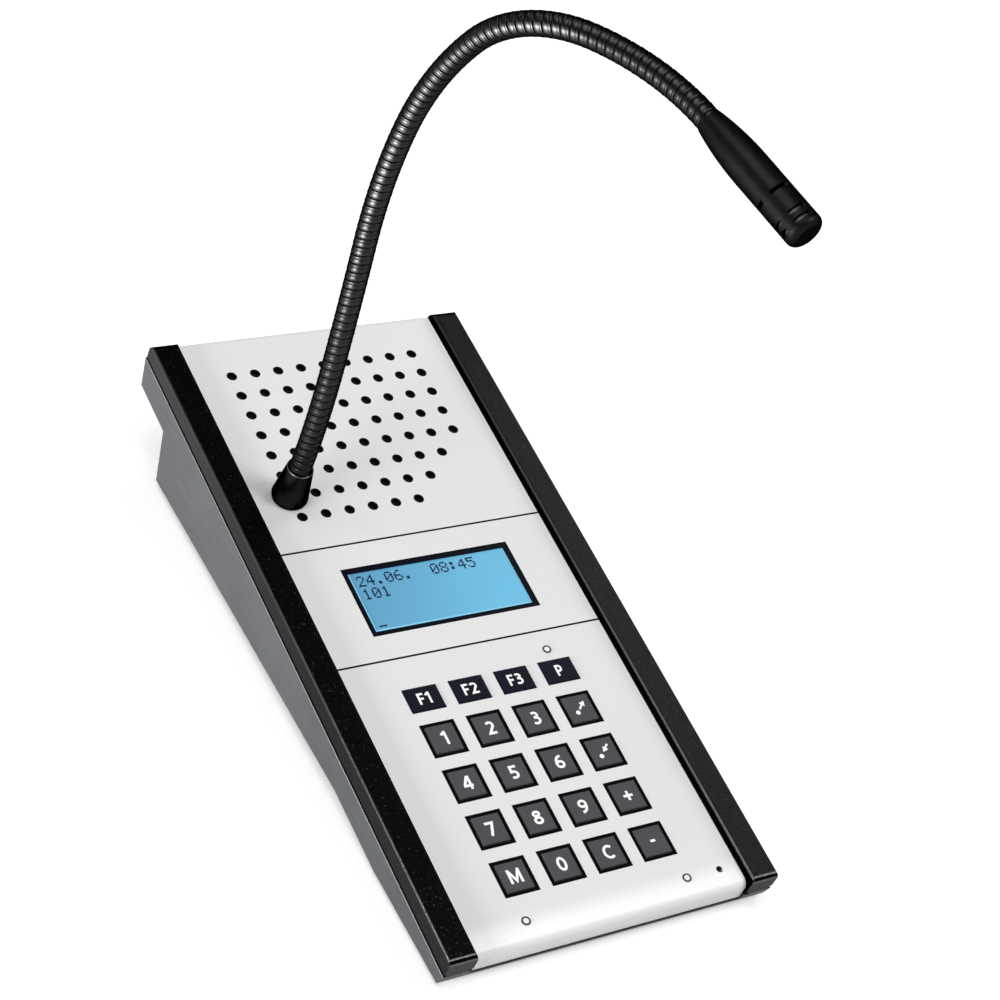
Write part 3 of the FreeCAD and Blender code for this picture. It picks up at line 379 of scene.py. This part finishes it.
# Characters of the display: navy dots, five by seven to a character, that
# the liquid crystal darkens. They ride just above the glass.
dot_shapes = {
    "0": "01110 10001 10011 10101 11001 10001 01110",
    "1": "00100 01100 00100 00100 00100 00100 01110",
    "2": "01110 10001 00001 00010 00100 01000 11111",
    "4": "00010 00110 01010 10010 11111 00010 00010",
    "5": "11111 10000 11110 00001 00001 10001 01110",
    "6": "00110 01000 10000 11110 10001 10001 01110",
    "8": "01110 10001 10001 01110 10001 10001 01110",
    ".": "00000 00000 00000 00000 00000 01100 01100",
    ":": "00000 01100 01100 00000 01100 01100 00000",
    "_": "00000 00000 00000 00000 00000 00000 00000 11111",
}
screen_lines = {0: "24.06.  08:45", 1: "101", 3: "_"}
first_dot = Vector((-28.7, 146.19))
character_pitch = Vector((3.617, 5.55))
dot_pitch = Vector((0.603, 0.64))
dot_size = Vector((0.6, 0.635))
glass_level = -0.75
dot_rise = 0.02
layers = 7
layer_step = 0.002


def built(mesh, name, material, place=panel, smooth=True):
    """The object of a finished mesh, put into the scene."""
    for face in mesh.faces:
        face.smooth = smooth
    data = bpy.data.meshes.new(name)
    mesh.to_mesh(data)
    mesh.free()
    data.transform(place)
    data.materials.append(material)
    made = bpy.data.objects.new(name, data)
    bpy.context.scene.collection.objects.link(made)
    return made


def flat_piece(name, shapes, level, finish, body):
    """A thin piece of flat outlines, in millimetres on the plates, that rides on a body."""
    mesh = bmesh.new()
    for step, outline in enumerate(shapes):
        height = level + step % layers * layer_step
        mesh.faces.new([mesh.verts.new(Vector((x, y, height)) / 1000) for x, y in outline])
    made = built(mesh, name, finish.material, smooth=False)
    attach(made, body)


dots = []
for line, words in screen_lines.items():
    for column, character in enumerate(words):
        if character == " ":
            continue
        for row, marks in enumerate(dot_shapes[character].split()):
            for place, mark in enumerate(marks):
                if mark == "1":
                    x = first_dot.x + column * character_pitch.x + place * dot_pitch.x
                    y = first_dot.y - line * character_pitch.y - row * dot_pitch.y
                    dots.append([(x, y - dot_size.y), (x + dot_size.x, y - dot_size.y),
                                 (x + dot_size.x, y), (x, y)])
crystal = Finish("crystal_dots", "bezel")
patch = crystal.place.noise(300.0, detail=1.0)
crystal.set(Base_Color=patch.mix(tinted(14, 27, 54), tinted(22, 38, 68)), Roughness=0.4,
            Specular_IOR_Level=0.2)
flat_piece("display_dots", dots, glass_level + dot_rise, crystal, "station")

# Keys: sixteen square caps in grey and four flat ones in navy, each with a
# fine matt surface and its legend printed in white. The black frames between
# caps and plate belong to one guide behind the plate.
guide = Finish("guide_plastic")
grain = guide.place.noise(1800.0, detail=2.0)
guide.set(Base_Color=grain.mix(grey(0.001, 0.2), grey(0.003, 0.2)), Roughness=0.5 + grain * 0.1,
          Specular_IOR_Level=0.03)
guide.bump(grain, 0.00004)
guide.on("key_guide")

square_cap = Finish("grey_cap")
grain = square_cap.place.noise(2000.0, detail=3.0, roughness=0.7)
cloud = square_cap.place.noise(120.0, detail=1.0)
square_cap.set(Base_Color=(grain * 0.5 + cloud * 0.5).mix(tinted(64, 65, 69), tinted(76, 77, 81)),
               Roughness=0.46 + grain * 0.12, Specular_IOR_Level=0.16)
square_cap.bump(grain, 0.00005)
flat_cap = Finish("navy_cap")
grain = flat_cap.place.noise(2000.0, detail=3.0, roughness=0.7)
flat_cap.set(Base_Color=grain.mix(tinted(4, 8, 22), tinted(9, 15, 32)),
             Roughness=0.42 + grain * 0.12, Specular_IOR_Level=0.1)
flat_cap.bump(grain, 0.00005)

key_pitch = Vector((17.6, 17.96))
first_key = Vector((-26.4, 77.1))
function_row = 93.3
cap_top = 0.4
ink_rise = 0.015
key_level = cap_top + ink_rise
legend_height = 5.15
function_legend_height = 4.45
pen = 0.18
half = pen / 2
legend_gap = 0.13
mitre_limit = 0.45
same_place = 1e-6
shaft_half = 0.36
head_half = 1.15
head_length = 2.0
spot_radius = 0.85
arrows = {"arrow_out": ((-0.3, -0.3), (2.6, 2.6), (-1.5, -1.5)),
          "arrow_in": ((2.5, 2.5), (-0.2, -0.2), (-1.6, -1.6))}


def arc(x, y, across, up, start, end):
    """Points of an elliptic arc about (x, y), between two angles in degrees."""
    count = max(4, int(abs(end - start) / 9))
    turns = [math.radians(start + (end - start) * i / count) for i in range(count + 1)]
    return [(x + across * math.cos(t), y + up * math.sin(t)) for t in turns]


def swing(start, first, second, end):
    """Points of a free curve from start to end, drawn towards two others."""
    points = []
    for i in range(15):
        t = i / 14
        shares = ((1 - t) ** 3, 3 * t * (1 - t) ** 2, 3 * t ** 2 * (1 - t), t ** 3)
        points.append(tuple(sum(s * p[k] for s, p in zip(shares, (start, first, second, end)))
                            for k in (0, 1)))
    return points


six = [arc(0.325, 0.305, 0.24, 0.305 - half, 0, 360),
       swing((0.085, 0.33), (0.085, 0.66), (0.24, 0.9), (0.53, 1 - half))]
legends = {
    "1": (0.42, [[(0.33, 0), (0.33, 1)], [(0.36, 0.965), (0.05, 0.745)]]),
    "2": (0.62, [arc(0.29, 0.70, 0.225, 0.3 - half, 150, -38) + [(0.115, half), (0.61, half)]]),
    "3": (0.60, [arc(0.255, 0.735, 0.205, 0.265 - half, 140, -90) + [(0.16, 0.553)],
                 [(0.16, 0.535)] + arc(0.25, 0.31, 0.26, 0.31 - half, 90, -140)]),
    "4": (0.68, [[(0.50, 0), (0.50, 1)], [(0.455, 0.985), (0.075, 0.30)],
                 [(0.0, 0.285), (0.68, 0.285)]]),
    "5": (0.60, [[(0.56, 1 - half), (0.13, 1 - half), (0.115, 0.53)]
                 + arc(0.25, 0.315, 0.26, 0.315 - half, 98, -135)]),
    "6": (0.65, six),
    "7": (0.60, [[(0.0, 1 - half), (0.54, 1 - half), (0.20, 0)]]),
    "8": (0.64, [arc(0.32, 0.755, 0.20, 0.245 - half, 0, 360),
                 arc(0.32, 0.29, 0.245, 0.29 - half, 0, 360)]),
    "9": (0.65, [[(0.65 - x, 1 - y) for x, y in stroke] for stroke in six]),
    "0": (0.66, [arc(0.33, 0.5, 0.245, 0.5 - half, 0, 360)]),
    "f": (0.52, [[(half, 0), (half, 1)], [(half, 1 - half), (0.52, 1 - half)],
                 [(half, 0.5), (0.48, 0.5)]]),
    "p": (0.58, [[(half, 0), (half, 1)], [(half, 1 - half)]
                 + arc(0.28, 0.68, 0.215, 0.32 - half, 90, -90) + [(half, 0.36 + half)]]),
    "m": (0.92, [[(half, 0), (half, 1)], [(0.92 - half, 0), (0.92 - half, 1)],
                 [(half, 0.97), (0.46, 0.16), (0.92 - half, 0.97)]]),
    "c": (0.68, [arc(0.44, 0.5, 0.44 - half, 0.5 - half, 48, 312)]),
    "plus": (0.7, [[(0.0, 0.5), (0.7, 0.5)], [(0.35, 0.15), (0.35, 0.85)]]),
    "minus": (0.36, [[(0.0, 0.5), (0.36, 0.5)]]),
}


def ribbon(points, width):
    """The quadrilaterals of a stroke of a constant width along some points."""
    spots = [Vector(point) for point in points]
    runs = [(after - before).normalized() for before, after in zip(spots, spots[1:])]
    closed = (spots[0] - spots[-1]).length < same_place
    entering = [runs[-1] if closed else runs[0]] + runs
    leaving = runs + [runs[0] if closed else runs[-1]]
    sides = []
    for spot, first, second in zip(spots, entering, leaving):
        run = (first + second).normalized()
        reach = width / 2 / max(mitre_limit, run.dot(first))
        side = Vector((-run.y, run.x)) * reach
        sides.append((spot + side, spot - side))
    return [[here[1], there[1], there[0], here[0]] for here, there in zip(sides, sides[1:])]


def lettered(signs, x, y, height):
    """The outlines of a legend, centred on a place and this high."""
    widths = [legends[sign][0] for sign in signs]
    left = x - (sum(widths) + legend_gap * (len(signs) - 1)) * height / 2
    outlines = []
    for sign, width in zip(signs, widths):
        for stroke in legends[sign][1]:
            placed = [(left + u * height, y + (v - 0.5) * height) for u, v in stroke]
            outlines += ribbon(placed, pen * height)
        left += (width + legend_gap) * height
    return outlines


def arrow(x, y, tail, tip, dot):
    """A round dot with an arrow beside it, from its tail to its tip."""
    tail, tip, dot = (Vector(p) + Vector((x, y)) for p in (tail, tip, dot))
    run = (tip - tail).normalized()
    side = Vector((-run.y, run.x))
    neck = tip - run * head_length
    shaft = [tail - side * shaft_half, neck - side * shaft_half,
             neck + side * shaft_half, tail + side * shaft_half]
    head = [neck - side * head_half, tip, neck + side * head_half]
    return [shaft, head, arc(dot.x, dot.y, spot_radius, spot_radius, 0, 360)[:-1]]


ink = Finish("legend_ink", "lens")
patch = ink.place.noise(900.0, detail=2.0)
ink.set(Base_Color=patch.mix(grey(0.9), grey(0.96)), Roughness=0.5 + patch * 0.1)
for column, name in enumerate(("f1", "f2", "f3", "p")):
    flat_cap.on("key_" + name)
    x = first_key.x + column * key_pitch.x
    flat_piece("legend_" + name, lettered(name, x, function_row, function_legend_height),
               key_level, ink, "button_" + name)
rows = (("1", "2", "3", "arrow_out"), ("4", "5", "6", "arrow_in"), ("7", "8", "9", "plus"),
        ("m", "0", "c", "minus"))
for row, names in enumerate(rows):
    for column, name in enumerate(names):
        square_cap.on("key_" + name)
        x = first_key.x + column * key_pitch.x
        y = first_key.y - row * key_pitch.y
        shapes = arrow(x, y, *arrows[name]) if name in arrows \
            else lettered([name], x, y, legend_height)
        flat_piece("legend_" + name, shapes, key_level, ink, "button_" + name)

# Lamps: a milky lens in a black ring pressed into the plate, three times,
# and the capsule of the small microphone behind its hole.
lens = Finish("milky_lens")
milk = lens.place.noise(700.0, detail=1.0)
lens.set(Base_Color=milk.mix(tinted(238, 236, 228), tinted(246, 245, 240)), Roughness=0.25,
         Coat_Weight=0.3)
lens.on("indicator_lamps")
moulded = Finish("black_moulding")
grain = moulded.place.noise(1500.0, detail=2.0)
moulded.set(Base_Color=grain.mix(grey(0.006), grey(0.014)), Roughness=0.42 + grain * 0.12)
moulded.bump(grain, 0.00005)
moulded.on("lamp_rings", "key_switches", "board_parts", "line_socket")
can = Finish("capsule_can")
brush = can.place.stretch((1.0, 1.0, 0.1)).noise(2600.0, detail=2.0)
can.set(Base_Color=brush.mix(grey(0.10), grey(0.16)), Metallic=0.9, Roughness=0.35 + brush * 0.2)
can.bump(brush, 0.00003)
can.on("talk_microphone", "mic_capsule")

# Circuit boards: glass fibre under green lacquer with the faint squares of
# its copper tracks. They are screwed to studs of the plates and the housing.
board = Finish("board_lacquer")
track_x = (board.place.part(0) * 2500.0).wave() > 0.82
track_y = (board.place.part(1) * 1900.0).wave() > 0.86
tracks = track_x.larger(track_y)
fibre = board.place.noise(1200.0, detail=2.0)
board.set(Base_Color=(tracks * 0.5 + fibre * 0.3).mix(tinted(14, 66, 40), tinted(60, 130, 80)),
          Roughness=0.34 + fibre * 0.14)
board.bump(tracks, 0.00004)
board.on("display_board", "keypad_board", "main_board")

# Gooseneck: a flattened steel wire wound into a tube of close turns, black
# nickelled. It holds any curve by the friction of its turns and hides a
# steel core. It is screwed into a turned ferrule on the plate.
neck_foot = (-37.9, 183.5)
neck_heading = math.radians(-68.2)
neck_leans = ((-14.2, 13.7), (-2.7, 1.8), (19.4, -11.2), (23.6, -3.7), (53.7, 17.2),
              (14.5, -22.5))
stretch_length = 44.07
ferrule_height = 15.5
turns_per_stretch = 15
pitch = stretch_length / turns_per_stretch
neck_sides = 40
winding = ((0.0, 3.50), (0.03, 3.70), (0.06, 3.86), (0.12, 3.93), (0.22, 3.97), (0.34, 3.985),
           (0.46, 3.97), (0.56, 3.93), (0.62, 3.89), (0.65, 3.86), (0.69, 3.90), (0.77, 3.94),
           (0.86, 3.93), (0.93, 3.88), (0.965, 3.76), (0.985, 3.56))
core_radius = 2.1
core_sides = 12
# The painted highlight on the winding: the direction its side faces, the heights over which it
# rises, and where it fades to the right, in metres.
painted_glint_side = (-0.82, -0.56, 0.11)
painted_glint_height = (0.095, 0.175)
painted_glint_end = (-0.014, -0.002)

neck = Finish("neck_black_chrome", "neck_black")
haze = neck.place.noise(500.0, detail=3.0)
smooth = Signal(neck.tree).node("ShaderNodeNewGeometry", {}, output=1)
# How squarely each face turns to the front left, for the painted highlight and the painted shade.
toward = smooth.node("ShaderNodeVectorMath", {0: smooth, 1: painted_glint_side}, output=1,
                     operation="DOT_PRODUCT")
coat = haze.mix(grey(0.026, 0.02), grey(0.036, 0.02))
# Painted shade: the turns are painted darker on the side turned away from the front left.
coat = toward.over(-0.3, 0.7).mix(grey(0.016, 0.02), coat)
# Painted highlight: a pale streak on the side of the turns that faces front left, above the foot
# and fading towards the head.
painted_glint = toward.over(0.88, 0.995) * neck.place.part(2).over(*painted_glint_height) \
    * neck.place.part(0).below(*painted_glint_end)
neck.set(Base_Color=painted_glint.mix(coat, grey(0.12, 0.01)), Metallic=1.0,
         Specular_Tint=grey(0.12), Roughness=0.28 + haze * 0.08)
neck.bump(haze, 0.00002)


def along_neck(distance):
    """The gooseneck's place and turn at a distance from the ferrule's rim."""
    place = Matrix.Translation((neck_foot[0], neck_foot[1], ferrule_height)) \
        @ Matrix.Rotation(neck_heading, 4, "Z")
    for forward, sideways in neck_leans:
        radius = stretch_length / math.radians(math.hypot(forward, sideways))
        run = min(distance, stretch_length)
        bend = max(0.0, run) / radius
        toward = Matrix.Rotation(math.atan2(sideways, forward), 4, "Z")
        bent = Matrix.Translation((radius * (1 - math.cos(bend)), 0, radius * math.sin(bend)
                                   + min(0.0, run))) @ Matrix.Rotation(bend, 4, "Y")
        place = place @ toward @ bent @ toward.inverted()
        distance -= stretch_length
        if distance <= 0:
            return place
    return place @ Matrix.Translation((0, 0, distance))


def circle(radius, count):
    """Places evenly round the Z axis."""
    turns = [2 * math.pi * i / count for i in range(count)]
    return [Vector((radius * math.cos(t), radius * math.sin(t), 0)) for t in turns]


def join(mesh, lower, upper):
    """The faces between two rings of as many points."""
    for i in range(len(lower)):
        after = (i + 1) % len(lower)
        mesh.faces.new([lower[i], lower[after], upper[after], upper[i]])


def wound_piece(name, first_turn, last_turn):
    """Some turns of the winding and the core inside them, as one mesh."""
    mesh = bmesh.new()
    rows = len(winding)
    points = {}

    def point(row, column):
        row, column = row + column // neck_sides * rows, column % neck_sides
        if (row, column) not in points:
            share, radius = winding[row % rows]
            turn = column / neck_sides
            distance = (row // rows + share + turn) * pitch
            angle = 2 * math.pi * turn
            spot = Vector((radius * math.cos(angle), radius * math.sin(angle), 0))
            points[row, column] = mesh.verts.new(along_neck(distance) @ spot / 1000)
        return points[row, column]

    for row in range(first_turn * rows, last_turn * rows):
        for column in range(neck_sides):
            mesh.faces.new([point(row, column), point(row, column + 1),
                            point(row + 1, column + 1), point(row + 1, column)])
    rings = []
    for turn in range(first_turn, last_turn + 2):
        place = along_neck(turn * pitch)
        rings.append([mesh.verts.new(place @ spot / 1000)
                      for spot in circle(core_radius, core_sides)])
    for lower, upper in zip(rings, rings[1:]):
        join(mesh, lower, upper)
    made = built(mesh, name, neck.material)
    return made


buried_turns = 5
half_stretch = 7
reach = 17.0
foot = wound_piece("neck_winding_foot", -buried_turns, half_stretch)
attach(foot, "station")
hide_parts("neck_stretch_1", "neck_core")
for index in range(1, 6):
    joint = index * turns_per_stretch
    piece = wound_piece("neck_winding_%d" % index, joint - turns_per_stretch + half_stretch,
                        joint + half_stretch)
    ends = [panel @ (along_neck(index * stretch_length + side * reach).translation / 1000)
            for side in (-1, 1)]
    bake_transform(piece)
    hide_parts("neck_stretch_%d" % (index + 1))
top = wound_piece("neck_winding_top", 5 * turns_per_stretch + half_stretch,
                  6 * turns_per_stretch + 1)
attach(top, "neck_6")

# Ferrule: turned from brass and lacquered glossy black, with a rounded foot
# and a recess round the gooseneck. A nut under the plate holds it.
foot_round = 1.3
rim_round = 0.25
sharp_angle = math.radians(32)
ferrule_sides = 72
rim_highlight_height = (0.01505, 0.0152)

lacquer = Finish("ferrule_lacquer", "neck_black")
peel = lacquer.place.noise(260.0, detail=2.0)
# Painted highlight: the top of the rim is painted lighter.
rim_highlight = lacquer.slope(2).over(*rim_highlight_height)
lacquer.set(Base_Color=rim_highlight.mix(peel.mix(grey(0.012), grey(0.02)), grey(0.12)), Metallic=1.0,
            Specular_Tint=grey(0.06), Roughness=0.2 + peel * 0.1)
lacquer.bump(peel, 0.00003)


def rounded(centre, radius, start, end, count=7):
    """Points round a corner of a turned profile, between two angles in degrees."""
    turns = [math.radians(start + (end - start) * i / count) for i in range(count + 1)]
    return [(centre[0] + radius * math.cos(t), centre[1] + radius * math.sin(t)) for t in turns]


profile = [(4.9, -9.9), (4.9, 0.0), (6.3, 0.0)]
profile += rounded((6.6 - foot_round, foot_round), foot_round, -60, 6)
profile += rounded((4.75 - rim_round, ferrule_height - rim_round), rim_round, 8, 172)
profile += [(4.22, 13.6), (4.15, 3.6), (2.45, 3.5), (2.45, -9.9)]
mesh = bmesh.new()
rings = [[mesh.verts.new((spot + Vector((0, 0, height))) / 1000)
          for spot in circle(radius, ferrule_sides)] for radius, height in profile]
for lower, upper in zip(rings, rings[1:] + rings[:1]):
    join(mesh, lower, upper)
bmesh.ops.recalc_face_normals(mesh, faces=mesh.faces)
for edge in mesh.edges:
    if edge.calc_face_angle(0.0) > sharp_angle:
        edge.smooth = False
ferrule_place = panel @ Matrix.Translation((neck_foot[0] / 1000, neck_foot[1] / 1000, 0))
ferrule = built(mesh, "ferrule", lacquer.material, ferrule_place)
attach(ferrule, "station")
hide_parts("neck_ferrule")

# Microphone head: a tapered turned body and a slotted cage, both black satin.
# The cage pushes on to the body and holds the capsule.
satin = Finish("head_satin")
haze = satin.place.noise(420.0, detail=3.0)
grain = satin.place.noise(2400.0, detail=2.0)
satin.set(Base_Color=haze.mix(grey(0.010, 0.04), grey(0.019, 0.04)), Metallic=1.0,
          Specular_Tint=grey(0.2), Roughness=0.4 + haze * 0.1)
satin.bump(grain, 0.00003)
satin.on("mic_body", "mic_cage")

# Desk and studio: a plain white bowl that stays white to the camera, with a
# dim room above its rim and five soft boxes round the object.
floor_radius = 3.0
wall_bend = 1.0
wall_top = 1.2
bend_steps = 24
bowl_sides = 96
whitening = (0.45, 1.5)

sweep = bpy.data.materials.new("white_bowl")
sweep.use_nodes = True
tree = sweep.node_tree
tree.nodes.clear()
start = Signal(tree)
seen, glossy, through = (start.node("ShaderNodeLightPath", {}, output=ray) for ray in (0, 3, 6))
paper = start.node("ShaderNodeBsdfDiffuse", {"Color": grey(0.8)})
here = start.node("ShaderNodeTexCoord", {}, output=3)
far = here.node("ShaderNodeVectorMath", {0: here}, output=1, operation="LENGTH").over(*whitening)
glow = start.node("ShaderNodeEmission", {"Color": far.mix(grey(0.42), grey(1.0)),
                                         "Strength": seen.larger(glossy).larger(through)})
both = start.node("ShaderNodeAddShader", {0: paper, 1: glow})
ending = tree.nodes.new("ShaderNodeOutputMaterial")
tree.links.new(both.socket, ending.inputs["Surface"])
edge = [(0.02, 0.0), (0.5, 0.0), (floor_radius, 0.0)]
for step in range(1, bend_steps + 1):
    turn = math.pi / 2 * step / bend_steps
    edge.append((floor_radius + wall_bend * math.sin(turn), wall_bend * (1 - math.cos(turn))))
edge.append((floor_radius + wall_bend, wall_top))
mesh = bmesh.new()
rings = [[mesh.verts.new(spot + Vector((0, 0, height))) for spot in circle(radius, bowl_sides)]
         for radius, height in edge]
mesh.faces.new(rings[0])
for inner, outer in zip(rings, rings[1:]):
    join(mesh, outer, inner)
backdrop = built(mesh, "bowl", sweep, Matrix())

world = bpy.data.worlds.new("studio_air")
world.use_nodes = True
bpy.context.scene.world = world
world.node_tree.nodes["Background"].inputs["Color"].default_value = grey(1.0)
world.node_tree.nodes["Background"].inputs["Strength"].default_value = 0.08


def soft_box(name, place, target, size, power):
    lamp = bpy.data.lights.new(name, "AREA")
    lamp.shape = "RECTANGLE"
    lamp.size, lamp.size_y = size
    lamp.energy = power
    made = bpy.data.objects.new(name, lamp)
    made.location = place
    made.visible_camera = False
    made.rotation_euler = (Vector(target) - Vector(place)).to_track_quat("-Z", "Y").to_euler()
    bpy.context.scene.collection.objects.link(made)


middle = (0.0, 0.0, 0.04)
soft_box("box_front", (0.56, -0.46, 1.05), middle, (0.5, 0.5), 7.4)
soft_box("box_above", (-0.35, 0.1, 1.25), middle, (0.7, 0.7), 6.2)
soft_box("box_left", (-0.5, -0.12, 0.11), (0.0, 0.03, 0.2), (0.24, 0.13), 2.4)
soft_box("box_rear", (-0.15, 0.6, 0.75), middle, (0.45, 0.16), 0.8)
soft_box("box_back", (0.86, 0.52, 0.6), middle, (0.45, 0.45), 3.0)

camera = bpy.data.objects.new("camera", bpy.data.cameras.new("camera"))
camera.data.lens = 87.33
camera.data.sensor_width = 36.0
camera.location = (-0.39875938, -0.46821241, 0.58410225)
camera.rotation_euler = (0.852956, -0.26089269, -0.49156912)
bpy.context.scene.collection.objects.link(camera)
bpy.context.scene.camera = camera
bpy.context.scene.view_settings.view_transform = "Standard"
